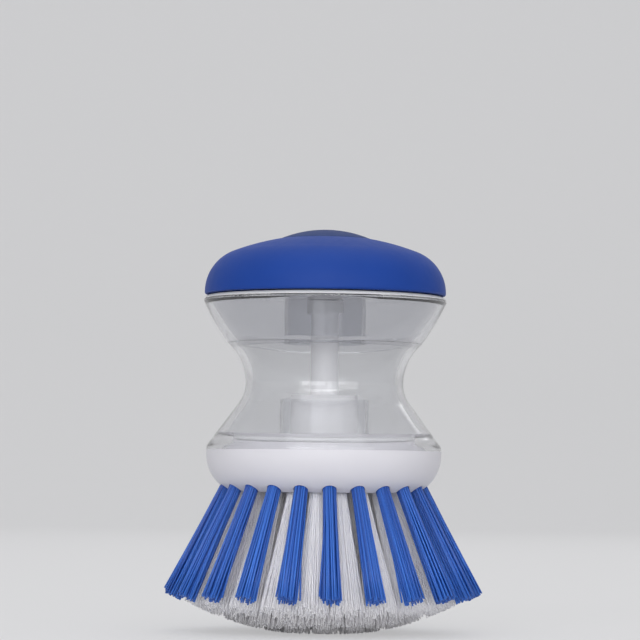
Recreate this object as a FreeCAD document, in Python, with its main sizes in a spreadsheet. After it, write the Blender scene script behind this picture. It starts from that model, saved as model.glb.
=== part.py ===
import FreeCAD, Part
import math
import os
import Sketcher

# A soap-dispensing scrub brush held in the palm, in millimetres, standing on its bristle tips with +Z up.
# The origin is on the brush's axis, in the plane of the longest tips, and the front faces -Y.

SIZES = [
    # brush head
    ("bristle_reach", 38.5, "longest tips to the underside of the base"),
    ("base_diameter", 64.6, "base and clear foot at their seam"),
    ("base_height", 11.4, "underside to the seam"),
    ("base_band", 1.0, "straight side just under the seam"),
    ("base_edge", 6.5, "width of the rounded edge round the flat underside"),
    ("floor_thickness", 9.0, "underside to the floor inside"),
    ("foot_wall", 4.5, "clear foot round the ring that it fits over"),
    ("spigot_height", 3.6, "that ring above the seam"),
    ("spigot_wall", 3.0, "wall of the ring"),
    ("spigot_slack", 0.2, "gap round the ring and above it"),
    ("seam_gap", 0.08, "clear foot above the base at their seam"),
    ("base_seal_section", 1.6, "O-ring between the ring and the foot"),
    # tufts
    ("hole_diameter", 4.0, "tuft hole"),
    ("hole_depth", 5.5, "tuft hole along its axis"),
    ("tuft_slack", 0.05, "gap between a tuft and its hole"),
    ("blue_inset", 5.3, "blue roots inside the rim of the base"),
    ("inner_ring", 19.6, "diameter of the innermost ring of roots"),
    ("blue_count", 22, "blue tufts"),
    ("outer_count", 22, "white tufts in the outer ring"),
    ("middle_count", 16, "white tufts in the middle ring"),
    ("inner_count", 10, "white tufts in the inner ring"),
    ("blue_flare", 26.3, "lean of the blue tufts, degrees"),
    ("outer_flare", 21.1, "lean of the outer white tufts, degrees"),
    ("middle_flare", 11.8, "lean of the middle white tufts, degrees"),
    ("blue_tip_height", 9.8, "blue tips above the longest tips"),
    ("outer_tip_height", 6.6, "outer white tips above the longest tips"),
    ("middle_tip_height", 2.7, "middle white tips above the longest tips"),
    ("blue_tip_diameter", 5.8, "blue tuft at its tip"),
    ("white_tip_gap", 1.2, "gap between neighbouring white tips"),
    ("lobe_count", 8, "lobes round a tuft, where its filaments bunch"),
    ("lobe_valley", 0.8, "reach of the valleys between the lobes, where a lobe reaches 1"),
    ("staple_thickness", 0.5, "flat wire anchor"),
    ("staple_height", 1.6, "anchor along the hole"),
    ("staple_lift", 1.2, "anchor above the end of the hole"),
    ("staple_bite", 0.3, "each end's bite into the wall of the hole"),
    ("staple_slack", 0.05, "gap between an anchor and its tuft"),
    # outlet valve
    ("outlet_diameter", 6.0, "soap outlet through the base"),
    ("pocket_diameter", 10.2, "pocket for the seat and the plug"),
    ("pocket_depth", 2.6, "pocket above the underside"),
    ("seat_thickness", 1.0, "rubber washer in the pocket"),
    ("seat_slack", 0.05, "gap round the washer"),
    ("plug_diameter", 9.0, "rubber plug"),
    ("plug_thickness", 1.8, "rubber plug"),
    ("plug_slack", 0.02, "gap between the plug and the stem"),
    ("barb_diameter", 5.2, "end of the stem under the plug"),
    ("barb_height", 1.0, "end of the stem under the plug"),
    ("stem_diameter", 3.8, "thin lower end of the rod"),
    ("rod_diameter", 7.6, "rod through the reservoir"),
    ("head_diameter", 9.9, "collar at the top of the rod"),
    ("head_height", 3.4, "collar at the top of the rod"),
    ("head_drop", 1.8, "top of the rod below the shoulder"),
    ("housing_diameter", 18.4, "white valve housing"),
    ("housing_wall", 1.6, "side of the housing"),
    ("housing_roof", 1.6, "top of the housing"),
    ("housing_height", 16.8, "housing above the floor"),
    ("rod_fit", 0.08, "running gap round the rod"),
    ("port_count", 4, "inlets at the foot of the housing"),
    ("port_width", 5.0, "inlet"),
    ("port_height", 3.4, "inlet above the floor"),
    ("sleeve_diameter", 24.4, "sleeve round the housing"),
    ("sleeve_wall", 0.9, "sleeve"),
    ("sleeve_height", 15.4, "sleeve above the floor"),
    ("curb_height", 1.2, "raised ring between the housing and the sleeve"),
    ("curb_slack", 0.1, "gap on each side of that ring"),
    ("collar_diameter", 13.6, "ring that the spring pushes on"),
    ("collar_thickness", 1.2, "ring that the spring pushes on"),
    ("collar_gap", 0.3, "ring below the roof of the housing"),
    ("collar_fit", 0.05, "gap between the ring and the stem"),
    ("spring_wire", 0.8, "return spring"),
    ("spring_diameter", 11.0, "return spring, at the middle of its wire"),
    ("spring_coils", 6, "return spring"),
    ("spring_gap", 0.1, "spring clear of its seats"),
    # clear reservoir
    ("bottle_height", 42.4, "seam to the shoulder"),
    ("bottle_wall", 2.0, "clear wall"),
    ("foot_band", 0.3, "straight side just above the seam"),
    ("foot_bend", 2.0, "rounding of the foot"),
    ("waist_diameter", 43.4, "narrowest place"),
    ("waist_height", 18.4, "narrowest place above the seam"),
    ("waist_bend", 9.0, "hollow below the waist"),
    ("split_height", 29.3, "joint of the two mouldings above the seam"),
    ("split_diameter", 53.4, "bowl at that joint"),
    ("bowl_bend", 60.0, "swell of the bowl above the joint"),
    ("shoulder_diameter", 66.8, "bowl at the shoulder"),
    ("shoulder_round", 1.6, "edge of the shoulder"),
    ("roof_thickness", 1.8, "flat shoulder"),
    ("weld_gap", 0.1, "fine line between the two mouldings"),
    ("neck_diameter", 35.0, "neck at the root of its thread"),
    ("neck_wall", 1.9, "neck"),
    ("thread_pitch", 2.4, "neck thread"),
    ("thread_depth", 1.0, "thread ridge, root to crest"),
    ("thread_width", 1.3, "thread ridge at its root"),
    ("thread_crest", 0.6, "thread ridge at its crest"),
    ("thread_slack", 0.3, "crest to the root that it faces"),
    ("thread_land", 0.5, "plain neck above and below the ridge"),
    ("thread_sink", 0.3, "ridge rooted in its wall"),
    # cap
    ("gasket_thickness", 1.0, "ring on the neck"),
    ("gasket_inset", 0.2, "ring inside the edges of the neck"),
    ("disc_thickness", 1.4, "flat top of the closure"),
    ("skirt_wall", 1.8, "threaded skirt of the closure"),
    ("skirt_gap", 0.4, "skirt above the shoulder"),
    ("guide_bore", 20.4, "tube that guides the button"),
    ("guide_wall", 1.0, "tube that guides the button"),
    ("guide_length", 18.2, "tube below the flat top"),
    ("dome_diameter", 66.4, "blue dome"),
    ("dome_wall", 1.8, "blue dome"),
    ("dome_bend", 12.0, "round of the dome's edge"),
    ("crown_radius", 72.0, "round of the dome's top"),
    ("rim_gap", 0.3, "dome above the shoulder"),
    ("rim_band", 0.7, "straight side above the rim"),
    ("rim_round", 0.5, "lower edge of the rim"),
    ("rib_diameter", 33.6, "ring under the dome that stands on the closure"),
    ("rib_wall", 1.6, "ring under the dome"),
    ("button_diameter", 24.8, "push button"),
    ("button_slack", 0.3, "gap round the button"),
    ("button_proud", 0.1, "edge of the button above the dome"),
    ("button_crown", 2.5, "rise of the button's top"),
    ("button_travel", 3.6, "stroke"),
    ("stop_gap", 0.4, "flange above the closure at the end of the stroke"),
    ("flange_width", 1.8, "flange that keeps the button in"),
    ("flange_thickness", 1.1, "flange that keeps the button in"),
    ("flange_gap", 0.3, "flange below the dome"),
    ("button_skirt_length", 11.0, "button's skirt below its flange"),
    ("button_skirt_wall", 2.7, "button's skirt"),
    ("button_fit", 0.1, "running gap round the skirt"),
    ("boss_diameter", 8.0, "boss that pushes the rod"),
    ("button_seal_section", 1.7, "O-ring on the skirt"),
    ("button_seal_lift", 2.2, "O-ring above the end of the skirt"),
    ("seal_stand", 0.05, "O-ring proud of its groove"),
    ("groove_slack", 0.1, "groove wider than its O-ring on each side"),
    ("groove_relief", 0.03, "O-ring clear of the bottom of its groove"),
]

doc = FreeCAD.newDocument("palm_scrub_brush")
sheet = doc.addObject("Spreadsheet::Sheet", "sizes")
for row, (alias, value, note) in enumerate(SIZES, start=1):
    sheet.set(f"A{row}", note)
    sheet.set(f"B{row}", str(value))
    sheet.setAlias(f"B{row}", alias)
doc.recompute()


class Size:
    """A number together with the spreadsheet expression that gives it."""

    def __init__(self, number, text):
        self.number = number
        self.text = text

    def __add__(self, other):
        other = as_size(other)
        return Size(self.number + other.number, f"({self.text} + {other.text})")

    def __sub__(self, other):
        other = as_size(other)
        return Size(self.number - other.number, f"({self.text} - {other.text})")

    def __mul__(self, other):
        other = as_size(other)
        return Size(self.number * other.number, f"({self.text} * {other.text})")

    def __truediv__(self, other):
        other = as_size(other)
        return Size(self.number / other.number, f"({self.text} / {other.text})")

    def __rsub__(self, other):
        return as_size(other) - self

    def __rtruediv__(self, other):
        return as_size(other) / self

    __radd__ = __add__
    __rmul__ = __mul__

    def __neg__(self):
        return 0 - self


def as_size(value):
    return value if isinstance(value, Size) else Size(value, str(value))


def size(alias):
    return Size(float(sheet.get(alias)), f"sizes.{alias}")


def root(value):
    return Size(math.sqrt(value.number), f"sqrt({value.text})")


def sine(angle):
    return Size(math.sin(math.radians(angle.number)), f"sin({angle.text})")


def cosine(angle):
    return Size(math.cos(math.radians(angle.number)), f"cos({angle.text})")


def bend_from_upright(across, along):
    """Radius of the arc that leaves a vertical line and moves `across` sideways over `along` of height."""
    return (across * across + along * along) / (2 * across)


def origin_feature(body, role):
    return next(feature for feature in body.Origin.OriginFeatures if feature.Role == role)


def new_body(label):
    body = doc.addObject("PartDesign::Body", label)
    body.Label = label
    body.AllowCompound = True
    return body


def turn_about_z(body, degrees):
    body.Placement = FreeCAD.Placement(FreeCAD.Vector(), FreeCAD.Rotation(FreeCAD.Vector(0, 0, 1), degrees))


def bind(thing, name, value):
    thing.setExpression(name, as_size(value).text)


def outline(body, name, corners, support=None):
    """A closed sketch of lines and arcs through its corners, in the XZ plane or on `support`.

    A corner is (x, y), or (x, y, side, radius) where the edge that leads to it is an arc turning to that side.
    """
    sketch = body.newObject("Sketcher::SketchObject", f"{name}_outline")
    sketch.AttachmentSupport = [(support or origin_feature(body, "XZ_Plane"), "")]
    sketch.MapMode = "FlatFace"
    spots = [FreeCAD.Vector(as_size(c[0]).number, as_size(c[1]).number, 0) for c in corners]
    tails, heads, edges, rules, bound = [], [], [], [], []

    def measure(kind, first, second, value, label):
        value = as_size(value)
        if value.number < 0:
            first, second, value = second, first, -value
        rule = Sketcher.Constraint(kind, *first, *second, value.number)
        rule.Name = label
        rules.append(rule)
        bound.append((label, value))

    for i, corner in enumerate(corners):
        start, end = spots[i - 1], spots[i]
        if len(corner) == 2:
            edges.append(Part.LineSegment(start, end))
            tails.append(1)
            heads.append(2)
            continue
        left = corner[2] == "left"
        radius = corner[3].number
        tails.append(1 if left else 2)
        heads.append(2 if left else 1)
        first, last = (start, end) if left else (end, start)
        chord = last - first
        inward = FreeCAD.Vector(-chord.y, chord.x, 0).normalize()
        centre = (first + last) / 2 + inward * math.sqrt(radius ** 2 - (chord.Length / 2) ** 2)
        angles = [math.atan2(p.y - centre.y, p.x - centre.x) for p in (first, last)]
        edges.append(Part.ArcOfCircle(Part.Circle(centre, FreeCAD.Vector(0, 0, 1), radius), *angles))
    for i, corner in enumerate(corners):
        after = (i + 1) % len(corners)
        rules.append(Sketcher.Constraint("Coincident", i, heads[i], after, tails[after]))
        for kind, axis, value in (("DistanceX", -2, corner[0]), ("DistanceY", -1, corner[1])):
            if isinstance(value, int) and value == 0:
                rules.append(Sketcher.Constraint("PointOnObject", i, heads[i], axis))
            else:
                measure(kind, (-1, 1), (i, heads[i]), value, f"{kind[-1].lower()}_{i}")
        if len(corner) == 4:
            rule = Sketcher.Constraint("Radius", i, corner[3].number)
            rule.Name = f"bend_{i}"
            rules.append(rule)
            bound.append((rule.Name, corner[3]))
    sketch.addGeometry(edges)
    sketch.addConstraint(rules)
    for label, value in bound:
        bind(sketch, f"Constraints.{label}", value)
    return sketch


def revolve(body, name, sketch, kind="PartDesign::Revolution"):
    feature = body.newObject(kind, name)
    feature.Profile = sketch
    feature.ReferenceAxis = (sketch, ["V_Axis"])
    feature.Angle = 360
    return feature


def extrude(body, name, sketch, length, kind="PartDesign::Pad"):
    """A pad or pocket as long on one side of its sketch as on the other."""
    feature = body.newObject(kind, name)
    feature.Profile = sketch
    feature.SideType = "Symmetric"
    bind(feature, "Length", length)
    return feature


def round_the_axis(body, name, features, count):
    pattern = body.newObject("PartDesign::PolarPattern", name)
    pattern.Originals = features
    pattern.Axis = (origin_feature(body, "Z_Axis"), [""])
    pattern.Angle = 360
    bind(pattern, "Occurrences", count)
    body.Tip = pattern
    return pattern


def turned(label, corners):
    """A sub-part turned about the axis of the brush."""
    body = new_body(label)
    revolve(body, f"{label}_turned", outline(body, label, corners))
    return body


def ring(label, inner, outer, low, high):
    return turned(label, [(inner, low), (outer, low), (outer, high), (inner, high)])


def o_ring(label, middle, section, height):
    torus = doc.addObject("Part::Torus", label)
    torus.Label = label
    bind(torus, "Radius1", middle)
    bind(torus, "Radius2", section / 2)
    bind(torus, "Placement.Base.z", height)
    return torus


def groove_corners(wall_r, section, height):
    """Corners of an O-ring's square groove in a wall that faces outwards, from the bottom up."""
    depth_at = wall_r + seal_stand - section - groove_relief
    low = height - section / 2 - groove_slack
    high = height + section / 2 + groove_slack
    return [(wall_r, low), (depth_at, low), (depth_at, high), (wall_r, high)]


def helical_ridge(body, label, corners, height):
    ridge = body.newObject("PartDesign::AdditiveHelix", f"{label}_ridge")
    sketch = outline(body, f"{label}_ridge", corners)
    ridge.Profile = sketch
    ridge.ReferenceAxis = (sketch, ["V_Axis"])
    ridge.Mode = "pitch-height-angle"
    bind(ridge, "Pitch", thread_pitch)
    bind(ridge, "Height", height)
    body.Tip = ridge


# Heights and radii that several pieces share, from the bristle tips up
seal_stand = size("seal_stand")
groove_slack = size("groove_slack")
groove_relief = size("groove_relief")

base_r = size("base_diameter") / 2
z_base = size("bristle_reach")
z_seam = z_base + size("base_height")
z_floor = z_base + size("floor_thickness")
z_spigot = z_seam + size("spigot_height")
foot_bore = base_r - size("foot_wall")
spigot_slack = size("spigot_slack")
spigot_r = foot_bore - spigot_slack
base_seal_z = z_seam + size("spigot_height") / 2
base_seal_section = size("base_seal_section")
base_seal_r = spigot_r + seal_stand - base_seal_section / 2

edge_bend = bend_from_upright(size("base_edge"), size("base_height") - size("base_band"))
edge_centre_r = base_r - edge_bend
z_band = z_seam - size("base_band")

outlet_r = size("outlet_diameter") / 2
pocket_r = size("pocket_diameter") / 2
z_pocket = z_base + size("pocket_depth")
z_seat = z_pocket - size("seat_thickness")
z_plug = z_seat - size("plug_thickness")
stem_r = size("stem_diameter") / 2
rod_r = size("rod_diameter") / 2

housing_r = size("housing_diameter") / 2
housing_bore = housing_r - size("housing_wall")
z_housing = z_floor + size("housing_height")
z_housing_roof = z_housing - size("housing_roof")
sleeve_r = size("sleeve_diameter") / 2
sleeve_bore = sleeve_r - size("sleeve_wall")
z_curb = z_floor + size("curb_height")
curb_slack = size("curb_slack")
z_collar = z_housing_roof - size("collar_gap")
z_spring_top = z_collar - size("collar_thickness")

wall = size("bottle_wall")
waist_r = size("waist_diameter") / 2
z_waist = z_seam + size("waist_height")
z_split = z_seam + size("split_height")
split_r = size("split_diameter") / 2
z_roof = z_seam + size("bottle_height")
z_roof_under = z_roof - size("roof_thickness")
z_rod_top = z_roof - size("head_drop")
upper_bend = bend_from_upright(split_r - waist_r, z_split - z_waist)
inner_bend = upper_bend + wall
bowl_rise = z_split - z_waist
split_inner_r = waist_r + upper_bend - root(inner_bend * inner_bend - bowl_rise * bowl_rise)
neck_r = size("neck_diameter") / 2
neck_bore = neck_r - size("neck_wall")

# The dome's two arcs fix how high its crown stands, and the button's stroke fixes the closure and the neck
dome_r = size("dome_diameter") / 2
dome_wall = size("dome_wall")
dome_bend = size("dome_bend")
crown = size("crown_radius")
z_rim = z_roof + size("rim_gap")
z_bend = z_rim + size("rim_band")
bend_r = dome_r - dome_bend
z_crown_centre = z_bend - root((crown - dome_bend) * (crown - dome_bend) - bend_r * bend_r)
crown_touch = bend_r / (crown - dome_bend)
crown_rise = (z_bend - z_crown_centre) / (crown - dome_bend)


def dome_height_at(radius, offset=0):
    """Height of the crown's surface, or of the surface `offset` under it, at a radius from the axis."""
    return z_crown_centre + root((crown - offset) * (crown - offset) - radius * radius)


button_r = size("button_diameter") / 2
button_hole = button_r + size("button_slack")
flange_r = button_r + size("flange_width")
z_flange = dome_height_at(flange_r, dome_wall) - size("flange_gap")
z_flange_under = z_flange - size("flange_thickness")
z_disc = z_flange_under - size("button_travel") - size("stop_gap")
z_disc_under = z_disc - size("disc_thickness")
z_neck = z_disc_under - size("gasket_thickness")
guide_r = size("guide_bore") / 2
button_skirt_r = guide_r - size("button_fit")
z_button_skirt = z_flange_under - size("button_skirt_length")
button_seal_z = z_button_skirt + size("button_seal_lift")
button_seal_section = size("button_seal_section")
button_seal_r = button_skirt_r + seal_stand - button_seal_section / 2

thread_pitch = size("thread_pitch")
thread_depth = size("thread_depth")
thread_sink = size("thread_sink")
thread_half = size("thread_width") / 2
crest_half = size("thread_crest") / 2
sink_half = thread_half + (thread_half - crest_half) * thread_sink / thread_depth
skirt_bore = neck_r + thread_depth + size("thread_slack")
z_thread = z_roof + size("thread_land") + sink_half
thread_climb = z_neck - size("thread_land") - sink_half - z_thread

# Where each ring of tufts is rooted; the rings are evenly spaced, with two between the inner and the blue one
inner_ring_r = size("inner_ring") / 2
blue_ring_r = base_r - size("blue_inset")
ring_step = (blue_ring_r - inner_ring_r) / 3
blue_reach_r = blue_ring_r - edge_centre_r
z_blue_root = z_band - root(edge_bend * edge_bend - blue_reach_r * blue_reach_r)
hole_r = size("hole_diameter") / 2
hole_depth = size("hole_depth")
tuft_root_r = hole_r - size("tuft_slack")
HALF_TURN = 180  # degrees


class TuftRing:
    """One ring of tufts: the place of a tip in the XZ plane, the tuft's lean and its free length."""

    def __init__(self, name, root_r, z_root, flare, z_tip, tip_r):
        self.name = name
        self.count = size(f"{name}_count")
        self.flare = flare
        fall = z_root - z_tip
        self.free = fall / cosine(flare) if flare else fall
        self.tip_at = root_r + self.free * sine(flare) if flare else root_r
        self.z_tip = z_tip
        self.tip_r = tip_r if tip_r else self.tip_at * sine(HALF_TURN / self.count) - size("white_tip_gap") / 2
        self.hole_end = self.free + hole_depth

    def lean(self, sketch):
        """Moves a sketch so that its Y axis runs from the tip up the tuft to the end of its hole."""
        turn = self.flare.number if self.flare else 0
        tip = FreeCAD.Vector(self.tip_at.number, as_size(self.z_tip).number, 0)
        sketch.AttachmentOffset = FreeCAD.Placement(tip, FreeCAD.Rotation(FreeCAD.Vector(0, 0, 1), turn))
        bind(sketch, "AttachmentOffset.Base.x", self.tip_at)
        bind(sketch, "AttachmentOffset.Base.y", self.z_tip)
        if self.flare:
            bind(sketch, "AttachmentOffset.Rotation.Angle", self.flare)

    def staple_sketch(self, body, slack, support=None):
        half = size("staple_thickness") / 2 + slack
        high = self.hole_end - size("staple_lift") + slack
        low = high - size("staple_height") - 2 * slack
        corners = [(-half, low), (half, low), (half, high), (-half, high)]
        sketch = outline(body, f"{self.name}_staple", corners, support)
        self.lean(sketch)
        return sketch

    def hole(self, body, support=None):
        """Cuts this ring's holes, each with its mouth carried past the surface."""
        mouth = self.free - hole_depth
        corners = [(0, mouth), (hole_r, mouth), (hole_r, self.hole_end), (0, self.hole_end)]
        sketch = outline(body, f"{self.name}_hole", corners, support)
        self.lean(sketch)
        groove = revolve(body, f"{self.name}_hole", sketch, "PartDesign::Groove")
        round_the_axis(body, f"{self.name}_holes", [groove], self.count)

    def lobed_sketch(self, body, name, crest_r, along):
        """Section of the bunched filaments across the tuft: flat-topped lobes, `along` up it from the tip."""
        lobes = size("lobe_count")
        step = HALF_TURN / lobes
        valley_r = crest_r * size("lobe_valley")
        corners = []
        for i in range(round(lobes.number)):
            crest = 2 * i * step
            spots = (valley_r, crest - step), (crest_r, crest - step / 2), (crest_r, crest + step / 2)
            corners += [(reach * cosine(turn), reach * sine(turn)) for reach, turn in spots]
        sketch = outline(body, f"{self.name}_{name}", corners, origin_feature(body, "XY_Plane"))
        across = self.tip_at - along * sine(self.flare) if self.flare else self.tip_at
        height = self.z_tip + along * cosine(self.flare) if self.flare else self.z_tip + along
        place = FreeCAD.Vector(across.number, 0, height.number)
        turn = self.flare.number if self.flare else 0
        sketch.AttachmentOffset = FreeCAD.Placement(place, FreeCAD.Rotation(FreeCAD.Vector(0, -1, 0), turn))
        bind(sketch, "AttachmentOffset.Base.x", across)
        bind(sketch, "AttachmentOffset.Base.z", height)
        if self.flare:
            bind(sketch, "AttachmentOffset.Rotation.Angle", self.flare)
        return sketch

    def tuft(self, body):
        """One tuft: bunched filaments that spread to the tip, a round root and the slot of its staple."""
        bunch = body.newObject("PartDesign::AdditiveLoft", f"{self.name}_bunch")
        bunch.Profile = self.lobed_sketch(body, "tip", self.tip_r, as_size(0))
        bunch.Sections = [self.lobed_sketch(body, "mouth", tuft_root_r, self.free)]
        bunch.Ruled = True
        corners = [(0, self.free), (tuft_root_r, self.free), (tuft_root_r, self.hole_end), (0, self.hole_end)]
        root_sketch = outline(body, f"{self.name}_root", corners)
        self.lean(root_sketch)
        tuft_root = revolve(body, f"{self.name}_root", root_sketch)
        slot_sketch = self.staple_sketch(body, size("staple_slack"))
        slot = extrude(body, f"{self.name}_slot", slot_sketch, 2 * size("hole_diameter"), "PartDesign::Pocket")
        return [bunch, tuft_root, slot]

    def staples(self, body, support=None):
        sketch = self.staple_sketch(body, as_size(0), support)
        staple = extrude(body, f"{self.name}_staple", sketch, size("hole_diameter") + 2 * size("staple_bite"))
        round_the_axis(body, f"{self.name}_staples", [staple], self.count)


outer_ring_r = blue_ring_r - ring_step
middle_ring_r = inner_ring_r + ring_step
blue_tip_r = size("blue_tip_diameter") / 2
blue = TuftRing("blue", blue_ring_r, z_blue_root, size("blue_flare"), size("blue_tip_height"), blue_tip_r)
outer = TuftRing("outer", outer_ring_r, z_base, size("outer_flare"), size("outer_tip_height"), None)
middle = TuftRing("middle", middle_ring_r, z_base, size("middle_flare"), size("middle_tip_height"), None)
inner = TuftRing("inner", inner_ring_r, z_base, None, 0, None)

FRONT = -90  # degrees about Z from +X to the front
HALF_STEP = HALF_TURN / outer.count  # the outer white tufts stand between the blue ones


def staggered_plane(body):
    """An upright plane through the axis, half a step of the outer ring round from the XZ plane."""
    plane = body.newObject("PartDesign::Plane", "staggered_plane")
    plane.AttachmentSupport = [(origin_feature(body, "XZ_Plane"), "")]
    plane.MapMode = "FlatFace"
    upright = FreeCAD.Vector(0, 1, 0)
    plane.AttachmentOffset = FreeCAD.Placement(FreeCAD.Vector(), FreeCAD.Rotation(upright, HALF_STEP.number))
    bind(plane, "AttachmentOffset.Rotation.Angle", HALF_STEP)
    return plane


def make_brush_base():
    spigot_bore = spigot_r - size("spigot_wall")
    curb_low_r = housing_r + curb_slack
    curb_high_r = sleeve_bore - curb_slack
    corners = [
        (pocket_r, z_base), (base_r - size("base_edge"), z_base), (base_r, z_band, "left", edge_bend),
        (base_r, z_seam), (spigot_r, z_seam),
        *groove_corners(spigot_r, base_seal_section, base_seal_z),
        (spigot_r, z_spigot), (spigot_bore, z_spigot), (spigot_bore, z_floor),
        (curb_high_r, z_floor), (curb_high_r, z_curb), (curb_low_r, z_curb), (curb_low_r, z_floor),
        (outlet_r, z_floor), (outlet_r, z_pocket), (pocket_r, z_pocket)]
    body = turned("brush_base", corners)
    blue.hole(body)
    middle.hole(body)
    inner.hole(body)
    outer.hole(body, staggered_plane(body))
    turn_about_z(body, FRONT)
    return body


def make_blue_tufts():
    first = new_body("blue_tuft_01")
    blue.tuft(first)
    turn_about_z(first, FRONT)
    tufts = [first]
    count = round(blue.count.number)
    for i in range(1, count):
        body = new_body(f"blue_tuft_{i + 1:02d}")
        copy = body.newObject("PartDesign::FeatureBase", f"blue_copy_{i + 1:02d}")
        copy.BaseFeature = first
        body.Tip = copy
        turn_about_z(body, FRONT + 360 * i / count)
        tufts.append(body)
    return tufts


def make_white_tufts(tuft_ring, start):
    body = new_body(f"white_tufts_{tuft_ring.name}")
    features = tuft_ring.tuft(body)
    round_the_axis(body, f"{tuft_ring.name}_tufts", features, tuft_ring.count)
    turn_about_z(body, start)
    return body


def make_staples():
    blue_staples = new_body("blue_tuft_staples")
    blue.staples(blue_staples)
    white_staples = new_body("white_tuft_staples")
    middle.staples(white_staples)
    inner.staples(white_staples)
    outer.staples(white_staples, staggered_plane(white_staples))
    for body in (blue_staples, white_staples):
        turn_about_z(body, FRONT)
    return [blue_staples, white_staples]


def make_lower_bottle():
    """Waist and bell foot: the straight flank touches the waist's hollow and the foot's rounding."""
    foot_bend = size("foot_bend")
    waist_bend = size("waist_bend")
    z_foot_end = z_seam + size("seam_gap")
    z_foot = z_foot_end + size("foot_band")
    foot_centre_r = base_r - foot_bend
    waist_centre_r = waist_r + waist_bend
    across = foot_centre_r - waist_centre_r
    down = z_foot - z_waist
    square = across * across + down * down
    bends = waist_bend + foot_bend
    flank = root(square - bends * bends)
    normal_r = (bends * across + flank * down) / square
    normal_z = (bends * down - flank * across) / square
    z_bore = z_spigot + spigot_slack
    waist_inner_bend = waist_bend + wall
    inner_touch_r = waist_centre_r + waist_inner_bend * normal_r
    inner_touch_z = z_waist + waist_inner_bend * normal_z
    bore_end_r = inner_touch_r + (z_bore - inner_touch_z) * (0 - normal_z) / normal_r
    corners = [
        (foot_bore, z_foot_end), (base_r, z_foot_end), (base_r, z_foot),
        (foot_centre_r - foot_bend * normal_r, z_foot - foot_bend * normal_z, "left", foot_bend),
        (waist_centre_r + waist_bend * normal_r, z_waist + waist_bend * normal_z),
        (waist_r, z_waist, "right", waist_bend), (split_r, z_split, "right", upper_bend),
        (split_inner_r, z_split), (waist_r - wall, z_waist, "left", inner_bend),
        (inner_touch_r, inner_touch_z, "left", waist_inner_bend), (bore_end_r, z_bore), (foot_bore, z_bore)]
    return turned("lower_bottle", corners)


def make_upper_bottle():
    """Bowl, flat shoulder and threaded neck."""
    z_low = z_split + size("weld_gap")
    shoulder_r = size("shoulder_diameter") / 2
    shoulder_round = size("shoulder_round")
    bowl_bend = size("bowl_bend")
    corners = [
        (split_r, z_low), (shoulder_r, z_roof - shoulder_round, "left", bowl_bend),
        (shoulder_r - shoulder_round, z_roof, "left", shoulder_round),
        (neck_r, z_roof), (neck_r, z_neck), (neck_bore, z_neck), (neck_bore, z_roof_under),
        (shoulder_r - wall, z_roof_under), (split_inner_r, z_low, "right", bowl_bend - wall)]
    body = turned("upper_bottle", corners)
    sunk_r = neck_r - thread_sink
    crest_r = neck_r + thread_depth
    helical_ridge(body, "neck", [
        (sunk_r, z_thread - sink_half), (crest_r, z_thread - crest_half),
        (crest_r, z_thread + crest_half), (sunk_r, z_thread + sink_half)], thread_climb)
    return body


def make_screw_cap():
    """Threaded closure with the tube that guides the button.

    Its ridge starts half a turn round from the neck's and as high, so it runs midway between the neck's turns.
    """
    skirt_r = skirt_bore + size("skirt_wall")
    z_skirt = z_roof + size("skirt_gap")
    tube_r = guide_r + size("guide_wall")
    z_tube = z_disc_under - size("guide_length")
    corners = [
        (guide_r, z_tube), (tube_r, z_tube), (tube_r, z_disc_under), (skirt_bore, z_disc_under),
        (skirt_bore, z_skirt), (skirt_r, z_skirt), (skirt_r, z_disc), (guide_r, z_disc)]
    body = turned("screw_cap", corners)
    sunk_r = skirt_bore + thread_sink
    crest_r = skirt_bore - thread_depth
    helical_ridge(body, "closure", [
        (crest_r, z_thread - crest_half), (sunk_r, z_thread - sink_half),
        (sunk_r, z_thread + sink_half), (crest_r, z_thread + crest_half)], thread_climb)
    turn_about_z(body, HALF_TURN)
    return body


def make_grip_cap():
    """Dome shell, with the ring inside that stands on the closure."""
    rim_round = size("rim_round")
    edge_inner_bend = dome_bend - dome_wall
    inner_crown = crown - dome_wall
    rib_low = size("rib_diameter") / 2 - size("rib_wall") / 2
    rib_high = rib_low + size("rib_wall")
    corners = [
        (dome_r - dome_wall, z_rim), (dome_r - rim_round, z_rim),
        (dome_r, z_rim + rim_round, "left", rim_round), (dome_r, z_bend),
        (crown * crown_touch, z_crown_centre + crown * crown_rise, "left", dome_bend),
        (button_hole, dome_height_at(button_hole), "left", crown),
        (button_hole, dome_height_at(button_hole, dome_wall)),
        (rib_low, dome_height_at(rib_low, dome_wall), "right", inner_crown),
        (rib_low, z_disc), (rib_high, z_disc), (rib_high, dome_height_at(rib_high, dome_wall)),
        (inner_crown * crown_touch, z_crown_centre + inner_crown * crown_rise, "right", inner_crown),
        (dome_r - dome_wall, z_bend, "right", edge_inner_bend)]
    return turned("grip_cap", corners)


def make_push_button():
    """Crowned button with its flange, guided skirt and the boss that pushes the rod."""
    z_edge = dome_height_at(button_hole) + size("button_proud")
    rise = size("button_crown")
    top_bend = (button_r * button_r + rise * rise) / (2 * rise)
    skirt_inner = button_skirt_r - size("button_skirt_wall")
    boss_r = size("boss_diameter") / 2
    corners = [
        (0, z_rod_top), (boss_r, z_rod_top), (boss_r, z_flange), (skirt_inner, z_flange),
        (skirt_inner, z_button_skirt), (button_skirt_r, z_button_skirt),
        *groove_corners(button_skirt_r, button_seal_section, button_seal_z),
        (button_skirt_r, z_flange_under), (flange_r, z_flange_under), (flange_r, z_flange),
        (button_r, z_flange), (button_r, z_edge), (0, z_edge + rise, "left", top_bend)]
    return turned("push_button", corners)


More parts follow.
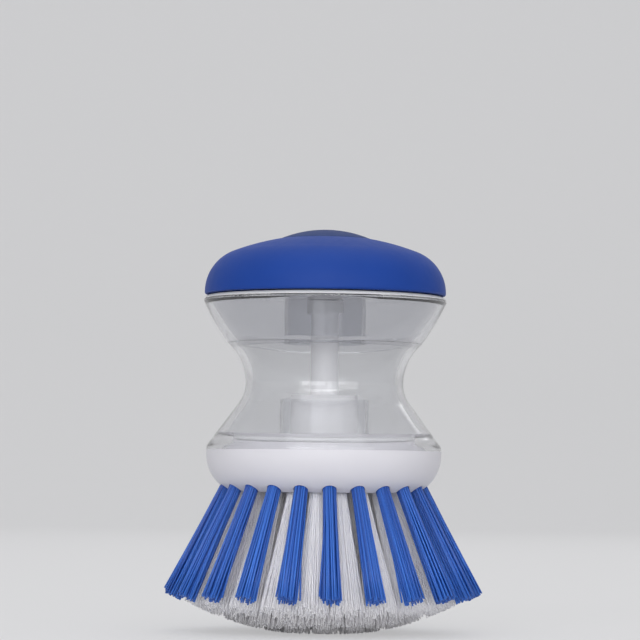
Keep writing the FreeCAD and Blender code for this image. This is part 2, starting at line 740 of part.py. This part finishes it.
def make_plunger_rod():
    """Rod with its collar on top, its thin stem and the barb that holds the plug."""
    head_r = size("head_diameter") / 2
    z_head = z_rod_top - size("head_height")
    barb_r = size("barb_diameter") / 2
    z_barb = z_plug - size("barb_height")
    corners = [
        (0, z_barb), (stem_r, z_barb), (barb_r, z_plug), (stem_r, z_plug), (stem_r, z_collar),
        (rod_r, z_collar), (rod_r, z_head), (head_r, z_head), (head_r, z_rod_top), (0, z_rod_top)]
    return turned("plunger_rod", corners)


def cut_inlets(body, name, outer_r, count):
    """Cuts inlets through the foot of an upright wall, evenly round the axis."""
    half = size("port_width") / 2
    high = z_floor + size("port_height")
    sketch = outline(body, name, [(-half, z_floor), (half, z_floor), (half, high), (-half, high)])
    inlet = body.newObject("PartDesign::Pocket", name)
    inlet.Profile = sketch
    bind(inlet, "Length", outer_r * 2)
    round_the_axis(body, f"{name}s", [inlet], count)


def make_valve_housing():
    guide = rod_r + size("rod_fit")
    corners = [
        (housing_bore, z_floor), (housing_r, z_floor), (housing_r, z_housing), (guide, z_housing),
        (guide, z_housing_roof), (housing_bore, z_housing_roof)]
    body = turned("valve_housing", corners)
    cut_inlets(body, "housing_port", housing_r, size("port_count"))
    return body


def make_housing_sleeve():
    body = ring("housing_sleeve", sleeve_bore, sleeve_r, z_floor, z_floor + size("sleeve_height"))
    cut_inlets(body, "sleeve_port", sleeve_r, size("port_count"))
    return body


def biarc(start, start_way, end, end_way):
    """Two arcs from start to end that leave and arrive along the given unit directions."""
    span = end - start
    ways = start_way + end_way
    turn = 2 * (1 - start_way.dot(end_way))
    along = span.dot(ways)
    reach = (math.sqrt(along ** 2 + turn * span.dot(span)) - along) / turn
    meeting = (start + start_way * reach + end - end_way * reach) / 2

    def arc(first, way, last):
        chord = last - first
        side = way - chord * (way.dot(chord) / chord.dot(chord))
        half_turn = way.getAngle(chord) / 2
        lift = side.normalize() * (chord.Length / 2 * math.tan(half_turn))
        return Part.Arc(first, (first + last) / 2 + lift, last).toShape()

    back = arc(end, end_way * -1, meeting)
    return [arc(start, start_way, meeting), back]


def make_return_spring():
    """One unbroken wire, wound evenly between the floor and the collar."""
    wire_r = size("spring_wire").number / 2
    coil_r = size("spring_diameter").number / 2
    coils = size("spring_coils").number
    gap = size("spring_gap").number
    low = z_floor.number + wire_r + gap
    high = z_spring_top.number - wire_r - gap
    climb = (high - low) / coils
    girth = 2 * math.pi * coil_r
    slope = math.hypot(girth, climb)
    quarters = max(4, round(4 * coils))
    points, ways = [], []
    for i in range(quarters + 1):
        share = i / quarters
        angle = 2 * math.pi * coils * share
        height = low + (high - low) * share
        points.append(FreeCAD.Vector(coil_r * math.cos(angle), coil_r * math.sin(angle), height))
        ways.append(FreeCAD.Vector(-girth * math.sin(angle), girth * math.cos(angle), climb) / slope)
    edges = []
    for i in range(quarters):
        edges += biarc(points[i], ways[i], points[i + 1], ways[i + 1])
    path = Part.Wire(Part.__sortEdges__(edges))
    section = Part.Wire(Part.Circle(points[0], ways[0], wire_r).toShape())
    spring = doc.addObject("Part::Feature", "return_spring")
    spring.Label = "return_spring"
    spring.Shape = path.makePipeShell([section], True, False)
    spring.Placement = FreeCAD.Placement()
    print(f"return_spring: least gap between turns {climb - 2 * wire_r:.2f} mm")
    return spring


sub_parts = [
    make_brush_base(), *make_blue_tufts(),
    make_white_tufts(outer, FRONT + HALF_STEP.number),
    make_white_tufts(middle, FRONT), make_white_tufts(inner, FRONT), *make_staples(),
    o_ring("base_seal", base_seal_r, base_seal_section, base_seal_z),
    ring("outlet_seat", outlet_r, pocket_r - size("seat_slack"), z_seat, z_pocket),
    ring("valve_plug", stem_r + size("plug_slack"), size("plug_diameter") / 2, z_plug, z_seat),
    make_plunger_rod(),
    ring("spring_collar", stem_r + size("collar_fit"), size("collar_diameter") / 2, z_spring_top, z_collar),
    make_return_spring(), make_valve_housing(), make_housing_sleeve(),
    make_lower_bottle(), make_upper_bottle(),
    ring("cap_gasket", neck_bore + size("gasket_inset"), neck_r - size("gasket_inset"), z_neck, z_disc_under),
    make_screw_cap(), make_grip_cap(), make_push_button(),
    o_ring("button_seal", button_seal_r, button_seal_section, button_seal_z),
]
doc.recompute()

for thing in doc.Objects:
    if "Invalid" in thing.State or "Error" in thing.State:
        raise RuntimeError(f"{thing.Label} failed: {thing.State}")
for part in sub_parts:
    if part.Shape.isNull() or not part.Shape.isValid():
        raise RuntimeError(f"{part.Label} has no valid shape")

os.makedirs("parts", exist_ok=True)
for part in sub_parts:
    part.Shape.exportStep(f"parts/{part.Label}.step")
    print(f"{part.Label}: {len(part.Shape.Solids)} solids, {part.Shape.Volume:.1f} mm3")
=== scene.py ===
import math
import bpy
import numpy as np
from mathutils import Matrix, Vector


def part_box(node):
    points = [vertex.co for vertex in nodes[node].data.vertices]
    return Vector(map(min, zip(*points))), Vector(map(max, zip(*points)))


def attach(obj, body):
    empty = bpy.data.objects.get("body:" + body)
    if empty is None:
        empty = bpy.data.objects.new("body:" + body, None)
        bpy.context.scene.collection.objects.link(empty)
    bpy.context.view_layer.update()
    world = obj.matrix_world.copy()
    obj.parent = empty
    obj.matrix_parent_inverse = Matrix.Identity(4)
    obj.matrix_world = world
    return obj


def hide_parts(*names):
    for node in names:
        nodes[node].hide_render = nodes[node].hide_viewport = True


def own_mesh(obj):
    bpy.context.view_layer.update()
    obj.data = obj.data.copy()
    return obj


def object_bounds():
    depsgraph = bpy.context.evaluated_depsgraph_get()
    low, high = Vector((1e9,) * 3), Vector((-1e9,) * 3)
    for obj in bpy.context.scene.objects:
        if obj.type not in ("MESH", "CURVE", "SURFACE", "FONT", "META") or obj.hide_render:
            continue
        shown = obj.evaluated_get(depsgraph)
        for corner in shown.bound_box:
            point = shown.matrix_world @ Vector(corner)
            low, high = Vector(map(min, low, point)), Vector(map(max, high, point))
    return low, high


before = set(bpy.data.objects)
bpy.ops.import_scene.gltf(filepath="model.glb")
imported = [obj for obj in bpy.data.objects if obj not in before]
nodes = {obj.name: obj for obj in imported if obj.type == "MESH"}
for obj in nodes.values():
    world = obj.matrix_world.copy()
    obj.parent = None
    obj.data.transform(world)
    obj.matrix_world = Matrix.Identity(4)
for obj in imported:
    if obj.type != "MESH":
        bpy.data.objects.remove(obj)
cadLow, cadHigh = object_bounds()
mm = 0.001
print("frame: pieces", len(nodes))


class Shade:
    # a socket of a node tree: sums on it add Math nodes, and node() adds a node of any other kind
    def __init__(self, tree, socket=None):
        self.tree = tree
        self.socket = socket

    def node(self, kind, settings=None, inputs=None, out=0):
        made = self.tree.nodes.new(kind)
        for key, value in (settings or {}).items():  # settings first: some of them change the sockets
            setattr(made, key, value)
        for key, value in (inputs or {}).items():
            if isinstance(value, Shade):
                self.tree.links.new(value.socket, made.inputs[key])
            else:
                made.inputs[key].default_value = value
        return Shade(self.tree, made.outputs[out]) if made.outputs else None

    def sum(self, operation, first, second):
        return self.node("ShaderNodeMath", {"operation": operation}, {0: first, 1: second})

    def __add__(self, other):
        return self.sum("ADD", self, other)

    def __mul__(self, other):
        return self.sum("MULTIPLY", self, other)

    __radd__ = __add__
    __rmul__ = __mul__


def newMaterial(name):
    material = bpy.data.materials.new(name)
    material.use_nodes = True
    material.node_tree.nodes.clear()
    return material, Shade(material.node_tree)


def closeMaterial(shade, surface):
    shade.node("ShaderNodeOutputMaterial", None, {"Surface": surface})


def objectPlace(shade):
    return shade.node("ShaderNodeTexCoord", None, None, "Object")


def cloudy(shade, place, scale, detail=2.0):
    # soft noise from 0 to 1; scale is in lumps per metre
    inputs = {"Vector": place, "Scale": scale, "Detail": detail}
    return shade.node("ShaderNodeTexNoise", None, inputs, "Fac")


def tinted(shade, first, second, share):
    # colour mix: first where share is 0, second where it is 1
    return shade.node("ShaderNodeMix", {"data_type": "RGBA"}, {0: share, 6: first, 7: second}, 2)


def raised(shade, height, depth):
    return shade.node("ShaderNodeBump", None, {"Strength": 1.0, "Distance": depth, "Height": height})


def litThrough(shade, surface, through):
    # lamplight passes the surface and takes its tint there; a plain shadow would leave what is behind it dark
    lampRay = shade.node("ShaderNodeLightPath", None, None, "Is Shadow Ray")
    passed = shade.node("ShaderNodeBsdfTransparent", None, {"Color": through})
    return shade.node("ShaderNodeMixShader", None, {0: lampRay, 1: surface, 2: passed})


# Moulded plastics: a slow drift of tone, a finer drift of gloss and a faint grain from the mould
mouldedLooks = {
    "whitePlastic": dict(dark=(0.66, 0.65, 0.69, 1), pale=(0.74, 0.73, 0.77, 1),
                         gloss=0.40, shine=0.40, grain=0.006 * mm),
    # white parts inside the clear body: a paler copy of the white plastic, painted light that makes up for
    # the shade they sit in
    "brightenedInnerWhite": dict(dark=(0.94, 0.935, 0.955, 1), pale=(0.97, 0.965, 0.98, 1),
                       gloss=0.42, shine=0.40, grain=0.004 * mm),
    "bluePlastic": dict(dark=(0.008, 0.043, 0.25, 1), pale=(0.012, 0.055, 0.30, 1),
                        gloss=0.50, shine=0.15, grain=0.010 * mm),
    "navyRubber": dict(dark=(0.014, 0.034, 0.130, 1), pale=(0.024, 0.050, 0.170, 1),
                       gloss=0.58, shine=0.25, grain=0.016 * mm),
    "sealRubber": dict(dark=(0.76, 0.76, 0.78, 1), pale=(0.82, 0.82, 0.84, 1),
                       gloss=0.50, shine=0.40, grain=0.010 * mm),
}
mouldTexture = dict(drift=60, sheen=420, fine=2600, fineDetail=3.0, glossSpan=0.12)


def mouldedPlastic(name, dark, pale, gloss, shine, grain):
    material, shade = newMaterial(name)
    place = objectPlace(shade)
    drift = cloudy(shade, place, mouldTexture["drift"])
    sheen = cloudy(shade, place, mouldTexture["sheen"])
    fine = cloudy(shade, place, mouldTexture["fine"], mouldTexture["fineDetail"])
    span = mouldTexture["glossSpan"]
    surface = shade.node("ShaderNodeBsdfPrincipled", None, {
        "Base Color": tinted(shade, dark, pale, drift),
        "Roughness": sheen * span + (gloss - span / 2),
        "Specular IOR Level": shine,
        "Normal": raised(shade, fine, grain)})
    closeMaterial(shade, surface)
    return material


# Clear plastics: polished glass-like walls that lamps shine through, so that the parts inside are lit
clearLooks = {
    # the upper bottle's tint is darker than the waist's: painted shade for the shade that falls under the
    # dome
    "shadedBowlPlastic": dict(tint=(0.79, 0.795, 0.82, 1), gloss=0.02, haze=0.05, wave=0.040 * mm, bend=1.5),
    "waistPlastic": dict(tint=(0.855, 0.86, 0.875, 1), gloss=0.02, haze=0.05, wave=0.040 * mm, bend=1.5),
    # the shoulder's rim: a whitish haze that paints a bright line of light along it
    "paintedRimHighlight": dict(tint=(0.93, 0.935, 0.95, 1), gloss=0.30, haze=0.60, wave=0.010 * mm, bend=1.5),
    "weldedFace": dict(tint=(0.96, 0.96, 0.97, 1), gloss=0.02, haze=0.08, wave=0.002 * mm, bend=1.0),
    "smokePlastic": dict(tint=(0.76, 0.77, 0.80, 1), gloss=0.06, haze=0.05, wave=0.012 * mm, bend=1.5),
    "frostedPlastic": dict(tint=(0.93, 0.935, 0.95, 1), gloss=0.07, haze=0.06, wave=0.010 * mm, bend=1.5),
}
clearTexture = dict(flow=110, flowDetail=1.0, sheen=300, glossSpan=0.03)
lampTint = (0.95, 0.95, 0.96, 1)  # colour of the lamplight that has passed a wall


def clearPlastic(name, tint, gloss, haze, wave, bend):
    # bend is the plastic's refractive index, or 1 where two mouldings have melted together
    material, shade = newMaterial(name)
    place = objectPlace(shade)
    flow = cloudy(shade, place, clearTexture["flow"], clearTexture["flowDetail"])
    sheen = cloudy(shade, place, clearTexture["sheen"])
    glass = shade.node("ShaderNodeBsdfPrincipled", None, {
        "Base Color": tint,
        "Roughness": sheen * clearTexture["glossSpan"] + gloss,
        "IOR": bend,
        "Transmission Weight": 1.0 - haze,
        "Normal": raised(shade, flow, wave)})
    closeMaterial(shade, litThrough(shade, glass, lampTint))
    return material


# Drawn filament: each one has its own tone, kept on the mesh, and is darker towards its root, painted shade
# where the tuft crowds into its hole
# The nylon lets some lamplight through, so that the inside of a tuft isn't black
filamentLooks = {
    "blueFilament": dict(dark=(0.008, 0.054, 0.31, 1), pale=(0.040, 0.178, 0.66, 1), gloss=0.34,
                         shine=0.5, through=(0.20, 0.30, 0.65, 1)),
    "whiteFilament": dict(dark=(0.95, 0.94, 0.96, 1), pale=(0.985, 0.978, 0.992, 1), gloss=0.46,
                          shine=0.3, through=(0.988, 0.982, 0.992, 1)),
}
filamentTexture = dict(ownShare=0.75, rootShadeShare=0.25, glossSpan=0.12)


def drawnFilament(name, dark, pale, gloss, shine, through):
    material, shade = newMaterial(name)
    tone = shade.node("ShaderNodeAttribute", {"attribute_name": "tone"}, None, "Fac")
    along = shade.node("ShaderNodeAttribute", {"attribute_name": "along"}, None, "Fac")
    toneAndRootShade = tone * filamentTexture["ownShare"] + along * filamentTexture["rootShadeShare"]
    surface = shade.node("ShaderNodeBsdfPrincipled", None, {
        "Base Color": tinted(shade, dark, pale, toneAndRootShade),
        "Roughness": tone * filamentTexture["glossSpan"] + gloss,
        "Specular IOR Level": shine})
    closeMaterial(shade, litThrough(shade, surface, through))
    return material


# Bright wire of the spring and the staples, with a fine drift of tone and of gloss
wireLook = dict(dark=(0.52, 0.53, 0.55, 1), pale=(0.68, 0.68, 0.70, 1),
                drift=900, sheen=2400, glossSpan=0.2, gloss=0.2)


def brightWire(name, dark, pale, drift, sheen, glossSpan, gloss):
    material, shade = newMaterial(name)
    place = objectPlace(shade)
    surface = shade.node("ShaderNodeBsdfPrincipled", None, {
        "Base Color": tinted(shade, dark, pale, cloudy(shade, place, drift)),
        "Metallic": 1.0,
        "Roughness": cloudy(shade, place, sheen) * glossSpan + gloss})
    closeMaterial(shade, surface)
    return material


materials = {name: mouldedPlastic(name, **look) for name, look in mouldedLooks.items()}
materials.update({name: clearPlastic(name, **look) for name, look in clearLooks.items()})
materials.update({name: drawnFilament(name, **look) for name, look in filamentLooks.items()})
materials["springSteel"] = brightWire("springSteel", **wireLook)
print("materials:", len(materials))

finishOf = {
    "push_button": "navyRubber", "grip_cap": "bluePlastic", "screw_cap": "smokePlastic",
    "upper_bottle": "shadedBowlPlastic", "lower_bottle": "waistPlastic", "housing_sleeve": "frostedPlastic",
    "plunger_rod": "brightenedInnerWhite", "valve_housing": "brightenedInnerWhite", "spring_collar": "brightenedInnerWhite",
    "brush_base": "whitePlastic", "cap_gasket": "sealRubber", "button_seal": "sealRubber",
    "base_seal": "sealRubber", "outlet_seat": "sealRubber", "valve_plug": "sealRubber",
    "blue_tuft_staples": "springSteel", "white_tuft_staples": "springSteel",
}
for node, finish in finishOf.items():
    nodes[node].data.materials.clear()
    nodes[node].data.materials.append(materials[finish])


def faceArrays(node):
    polygons = nodes[node].data.polygons
    centres = np.empty(3 * len(polygons))
    normals = np.empty(3 * len(polygons))
    polygons.foreach_get("center", centres)
    polygons.foreach_get("normal", normals)
    return centres.reshape(-1, 3), normals.reshape(-1, 3)


# Faces of the clear mouldings with a finish of their own: their weld, and the shoulder's rim, where a whitish
# haze paints the bright line of light along it
special = dict(weldZ=79.25 * mm, within=0.2 * mm, level=0.9, rimR=30.0 * mm, rimZ=91.2 * mm, rimSlope=0.45)
wallSlot, rimSlot, weldSlot = 0, 1, 2
for node in ("upper_bottle", "lower_bottle"):
    centre, normal = faceArrays(node)
    atWeld = abs(centre[:, 2] - special["weldZ"]) < special["within"]
    welded = atWeld & (abs(normal[:, 2]) > special["level"])
    outside = (np.hypot(centre[:, 0], centre[:, 1]) > special["rimR"]) & (centre[:, 2] > special["rimZ"])
    rim = outside & (normal[:, 2] > special["rimSlope"])
    mesh = nodes[node].data
    mesh.materials.append(materials["paintedRimHighlight"])
    mesh.materials.append(materials["weldedFace"])
    slots = np.where(welded, weldSlot, np.where(rim, rimSlot, wallSlot))
    mesh.polygons.foreach_set("material_index", slots.astype(np.int32))
print("finishes on solids:", len(finishOf))


def gridPiece(name, points, material, **marks):
    # tubes as one mesh: points is tubes x rings x sides x 3, and marks are values kept at the points, by name
    # walls join ring to ring, and both ends of a tube are capped
    tubes, rings, sides = points.shape[:3]
    index = np.arange(tubes * rings * sides).reshape(tubes, rings, sides)
    turned = np.roll(index, -1, axis=2)
    walls = np.stack([index[:, :-1], index[:, 1:], turned[:, 1:], turned[:, :-1]], axis=-1).reshape(-1, 4)
    caps = np.concatenate([index[:, 0], index[:, -1, ::-1]])
    corners = np.concatenate([walls.ravel(), caps.ravel()])
    totals = np.concatenate([np.full(len(walls), 4), np.full(len(caps), sides)])
    mesh = bpy.data.meshes.new(name)
    mesh.vertices.add(index.size)
    mesh.vertices.foreach_set("co", points.astype(np.float32).ravel())
    mesh.loops.add(len(corners))
    mesh.loops.foreach_set("vertex_index", corners.astype(np.int32))
    mesh.polygons.add(len(totals))
    mesh.polygons.foreach_set("loop_start", (np.cumsum(totals) - totals).astype(np.int32))
    mesh.polygons.foreach_set("use_smooth", np.arange(len(totals)) < len(walls))
    for label, values in marks.items():
        attribute = mesh.attributes.new(label, "FLOAT", "POINT")
        attribute.data.foreach_set("value", values.astype(np.float32).ravel())
    mesh.update()
    mesh.validate()
    mesh.materials.append(material)
    piece = bpy.data.objects.new(name, mesh)
    bpy.context.scene.collection.objects.link(piece)
    return piece


# Rings of tufts, root to tip: where the roots stand, how the tufts lean and how far they spread at the tips
whiteTuft = dict(zRoot=38.5 * mm, rootR=1.95 * mm, thick=0.29 * mm, sides=5, strays=0.0, trimmed=True)
tuftRings = {
    "blue": dict(count=22, start=-90, ringR=27.0 * mm, lean=26.3, zRoot=39.18 * mm, zTip=9.8 * mm,
                 rootR=1.95 * mm, tipR=2.9 * mm, filaments=48, thick=0.50 * mm, sides=6,
                 ragged=0.030, strays=0.05, trimmed=False),
    "outer": dict(whiteTuft, count=22, start=-90 + 180 / 22, ringR=21.27 * mm, lean=21.1, zTip=6.6 * mm,
                  tipR=4.7 * mm, filaments=190, ragged=0.050),
    "middle": dict(whiteTuft, count=16, start=-90, ringR=15.53 * mm, lean=11.8, zTip=2.5 * mm,
                   tipR=4.7 * mm, filaments=210, ragged=0.045),
    "inner": dict(whiteTuft, count=10, start=-90, ringR=9.8 * mm, lean=4.5, zTip=0.3 * mm,
                  tipR=3.8 * mm, filaments=210, ragged=0.040),
}
# Bowl that the white tips are cut to
trim = dict(flatR=8.0 * mm, edgeR=37.1 * mm, edgeZ=8.1 * mm, power=1.8)
# How single filaments differ: strayBy is a range in mm, strayShort a share of the length
stray = dict(wander=0.07, strayBy=(1.2, 2.6), strayShort=0.03, ragPower=1.5, bow=0.10 * mm, spread=1.15)
buried = 4.0 * mm  # how far the filaments reach into their holes
stations = np.array([-1.0, 0.0, 0.33, 0.67, 1.0])  # rings along a filament: hole, mouth and three below it
golden = math.pi * (3 - math.sqrt(5))  # turn from one filament to the next, which fills a tuft evenly


def tuftTubes(ring, azimuth, random):
    # centre line = root + axis * s + offset across the axis + a bow that is widest halfway
    # offset = root offset + (tip offset - root offset) * share of the length to a power
    n = ring["filaments"]
    lean = math.radians(ring["lean"])
    outward = np.array([math.cos(azimuth), math.sin(azimuth), 0.0])
    side = np.array([-math.sin(azimuth), math.cos(azimuth), 0.0])
    axis = outward * math.sin(lean) - np.array([0.0, 0.0, math.cos(lean)])
    over = np.cross(side, axis)
    root = outward * ring["ringR"] + np.array([0.0, 0.0, ring["zRoot"]])
    free = (ring["zRoot"] - ring["zTip"]) / math.cos(lean)
    half = ring["thick"] / 2
    order = np.arange(n)
    reach = np.sqrt((order + 0.5) / n)
    turn = order * golden + random.uniform(0, 2 * math.pi)
    spot = np.stack([reach * np.cos(turn), reach * np.sin(turn)], axis=1)
    rootSpot = spot * (ring["rootR"] - half)
    tipSpot = spot + random.normal(0, stray["wander"], (n, 2))
    tipSpot /= np.maximum(1.0, np.linalg.norm(tipSpot, axis=1, keepdims=True))
    tipSpot *= ring["tipR"] - half
    astray = random.random(n) < ring["strays"]
    toSide = random.choice([-1.0, 1.0], n)
    tipSpot[astray, 0] += toSide[astray] * random.uniform(*stray["strayBy"], n)[astray] * mm
    shorter = np.where(astray, stray["strayShort"], 0.0)
    shorter += random.random(n) ** stray["ragPower"] * ring["ragged"]
    if ring["trimmed"]:  # tip height = edge height * (share of the way out from the flat middle) to a power
        tips = root + free * axis + tipSpot[:, :1] * side + tipSpot[:, 1:] * over
        pastFlat = np.maximum(np.hypot(tips[:, 0], tips[:, 1]) - trim["flatR"], 0)
        wayOut = pastFlat / (trim["edgeR"] - trim["flatR"])
        shorter += (trim["edgeZ"] * wayOut ** trim["power"] - tips[:, 2]) / (free * math.cos(lean))
    bow = random.normal(0, stray["bow"], (n, 2))
    share = np.clip(stations, 0, 1)[None, :] * (1 - shorter[:, None])
    s = np.where(stations[None, :] < 0, -buried, share * free)
    eased = share[..., None] ** stray["spread"]
    across = rootSpot[:, None] + (tipSpot - rootSpot)[:, None] * eased
    across = across + bow[:, None] * (4 * share * (1 - share))[..., None]
    centre = root + s[..., None] * axis + across[..., :1] * side + across[..., 1:] * over
    angles = np.linspace(0, 2 * math.pi, ring["sides"], endpoint=False)
    rim = half * (np.cos(angles)[:, None] * side + np.sin(angles)[:, None] * over)
    points = centre[:, :, None] + rim[None, None]
    tone = np.broadcast_to(random.random(n)[:, None, None], points.shape[:3])
    along = np.broadcast_to(share[:, :, None], points.shape[:3])
    return points, tone, along


def tuftRing(ring, random):
    turns = np.radians(ring["start"] + 360 / ring["count"] * np.arange(ring["count"]))
    return [tuftTubes(ring, turn, random) for turn in turns]


random = np.random.default_rng(22)  # a fixed seed: every run gives the same tufts
for place, (points, tone, along) in enumerate(tuftRing(tuftRings["blue"], random), start=1):
    name = f"blueFilaments{place:02d}"
    piece = gridPiece(name, points, materials["blueFilament"], tone=tone, along=along)
    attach(piece, "reservoir")
    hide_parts(f"blue_tuft_{place:02d}")
for label in ("outer", "middle", "inner"):
    points, tone, along = (np.concatenate(arrays) for arrays in zip(*tuftRing(tuftRings[label], random)))
    name = f"whiteFilaments{label.capitalize()}"
    piece = gridPiece(name, points, materials["whiteFilament"], tone=tone, along=along)
    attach(piece, "reservoir")
    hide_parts(f"white_tufts_{label}")
print("tufts made")

# Return spring: one wire wound evenly up to the collar, at its rest length; the collar shortens the real
# spring as the rod goes down
coil = dict(wire=0.8 * mm, turns=6, perTurn=32, sides=10)


def springWire(low, high, wire, turns, perTurn, sides):
    # centre line = circle that climbs evenly; each ring lies across the wire, spanned by outward and upright
    up = np.array([0.0, 0.0, 1.0])
    rise = high.z - low.z - wire
    share = np.linspace(0, 1, turns * perTurn + 1)[:, None]
    angle = 2 * math.pi * turns * share
    outward = np.concatenate([np.cos(angle), np.sin(angle), np.zeros_like(angle)], axis=1)
    forward = np.concatenate([-np.sin(angle), np.cos(angle), np.zeros_like(angle)], axis=1)
    half = wire / 2
    radius = high.x - half
    climb = rise / (2 * math.pi * turns * radius)
    upright = (up - climb * forward) / math.hypot(1.0, climb)
    centre = outward * radius + up * (low.z + half + rise * share)
    around = np.linspace(0, 2 * math.pi, sides, endpoint=False)[None, :, None]
    ring = half * (np.cos(around) * outward[:, None] + np.sin(around) * upright[:, None])
    return (centre[:, None] + ring)[None]


spring = gridPiece("springCoil", springWire(*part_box("return_spring"), **coil), materials["springSteel"])
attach(spring, "reservoir")
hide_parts("return_spring")
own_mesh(spring)


# Stage: a pale floor that runs up into a backdrop, soft lamps and a plain world
stageLook = dict(half=6.0, back=1.6, bend=0.6, height=2.4, steps=24,
                 colour=(0.72, 0.72, 0.73, 1), dull=0.9, glow=0.6)
skyLook = dict(colour=(0.97, 0.98, 1.0, 1), strength=0.45)


def anySeen(shade):
    # 1 for what is seen straight, through something clear or mirrored in something glossy
    straight = shade.node("ShaderNodeLightPath", None, None, "Is Camera Ray")
    through = shade.node("ShaderNodeLightPath", None, None, "Is Transmission Ray")
    mirrored = shade.node("ShaderNodeLightPath", None, None, "Is Glossy Ray")
    return straight.sum("MAXIMUM", straight, through.sum("MAXIMUM", through, mirrored))


def sweepBackdrop(half, back, bend, height, steps, colour, dull, glow):
    # floor line, quarter circle of radius bend, wall line, carried straight along X
    arc = np.linspace(0, math.pi / 2, steps)
    y = np.concatenate([[-half], back + bend * np.sin(arc), [back + bend]])
    z = np.concatenate([[0.0], bend * (1 - np.cos(arc)), [height]])
    x = np.array([-half, half])
    points = np.stack([np.repeat(x[:, None], len(y), 1), np.tile(y, (2, 1)), np.tile(z, (2, 1))], axis=-1)
    index = np.arange(2 * len(y)).reshape(2, len(y))
    faces = np.stack([index[0, :-1], index[1, :-1], index[1, 1:], index[0, 1:]], axis=-1)
    mesh = bpy.data.meshes.new("backdrop")
    mesh.from_pydata(points.reshape(-1, 3).tolist(), [], faces.tolist())
    mesh.polygons.foreach_set("use_smooth", np.ones(len(faces), bool))
    material, shade = newMaterial("backdropPaint")
    paint = shade.node("ShaderNodeBsdfPrincipled", None, {"Base Color": colour, "Roughness": dull})
    even = shade.node("ShaderNodeEmission", None, {"Color": colour, "Strength": 1.0})
    mixed = shade.node("ShaderNodeMixShader", None, {0: anySeen(shade) * glow, 1: paint, 2: even})
    closeMaterial(shade, mixed)
    mesh.materials.append(material)
    piece = bpy.data.objects.new("backdrop", mesh)
    bpy.context.scene.collection.objects.link(piece)


sweepBackdrop(**stageLook)

middle = Vector((0, 0, (cadLow.z + cadHigh.z) / 2))
lamps = {
    "keyLamp": dict(place=(-0.45, -1.50, 0.75), wide=1.5, tall=1.5, power=8.5),
    "fillLamp": dict(place=(0.70, -1.55, 0.15), wide=1.4, tall=1.4, power=8.5),
    "lowLamp": dict(place=(-0.50, -1.40, 0.02), wide=0.9, tall=0.9, power=4.5),
    "topLamp": dict(place=(0.0, -0.10, 1.35), wide=1.2, tall=1.2, power=4.0),
    "stripLamp": dict(place=(-0.10, -1.20, 0.80), wide=1.3, tall=0.06, power=2.0),
    "backLamp": dict(place=(0.30, 1.15, 1.05), wide=1.4, tall=0.9, power=4.5, mirrored=False),
}
for label, lamp in lamps.items():
    light = bpy.data.lights.new(label, "AREA")
    light.shape = "RECTANGLE"
    light.size = lamp["wide"]
    light.size_y = lamp["tall"]
    light.energy = lamp["power"]
    holder = bpy.data.objects.new(label, light)
    holder.location = lamp["place"]
    holder.visible_glossy = lamp.get("mirrored", True)
    holder.rotation_mode = "QUATERNION"
    holder.rotation_quaternion = (middle - holder.location).to_track_quat("-Z", "Y")
    bpy.context.scene.collection.objects.link(holder)

world = bpy.data.worlds.new("studio")
bpy.context.scene.world = world
world.use_nodes = True
world.node_tree.nodes.clear()
sky = Shade(world.node_tree)
dome = sky.node("ShaderNodeBackground", None, {"Color": skyLook["colour"], "Strength": skyLook["strength"]})
pale = sky.node("ShaderNodeBackground", None, {"Color": stageLook["colour"], "Strength": 1.0})
mixed = sky.node("ShaderNodeMixShader", None, {0: anySeen(sky), 1: dome, 2: pale})
sky.node("ShaderNodeOutputWorld", None, {"Surface": mixed})
print("stage made: lamps", len(lamps))

# Camera: level with the brush's base, tilted up a little and turned a little to the side
# width is what the picture spans at the brush
eye = dict(distance=0.88, turn=-3.4, height=43.5 * mm, aim=85.8 * mm, aside=-1.4 * mm, width=176 * mm,
           roll=0.6, sensor=36, near=0.01)
camera = bpy.data.cameras.new("camera")
camera.sensor_width = eye["sensor"]
camera.lens = camera.sensor_width * eye["distance"] / eye["width"]
viewer = bpy.data.objects.new("camera", camera)
around = Matrix.Rotation(math.radians(eye["turn"]), 3, "Z")
viewer.location = around @ Vector((eye["aside"], -eye["distance"], eye["height"]))
look = around @ Vector((eye["aside"], 0, eye["aim"])) - viewer.location
viewer.rotation_mode = "QUATERNION"
rolled = Matrix.Rotation(math.radians(eye["roll"]), 3, "Z").to_quaternion()
viewer.rotation_quaternion = look.to_track_quat("-Z", "Y") @ rolled
camera.clip_start = eye["near"]
bpy.context.scene.collection.objects.link(viewer)
bpy.context.scene.camera = viewer
bpy.context.scene.view_settings.view_transform = "Standard"
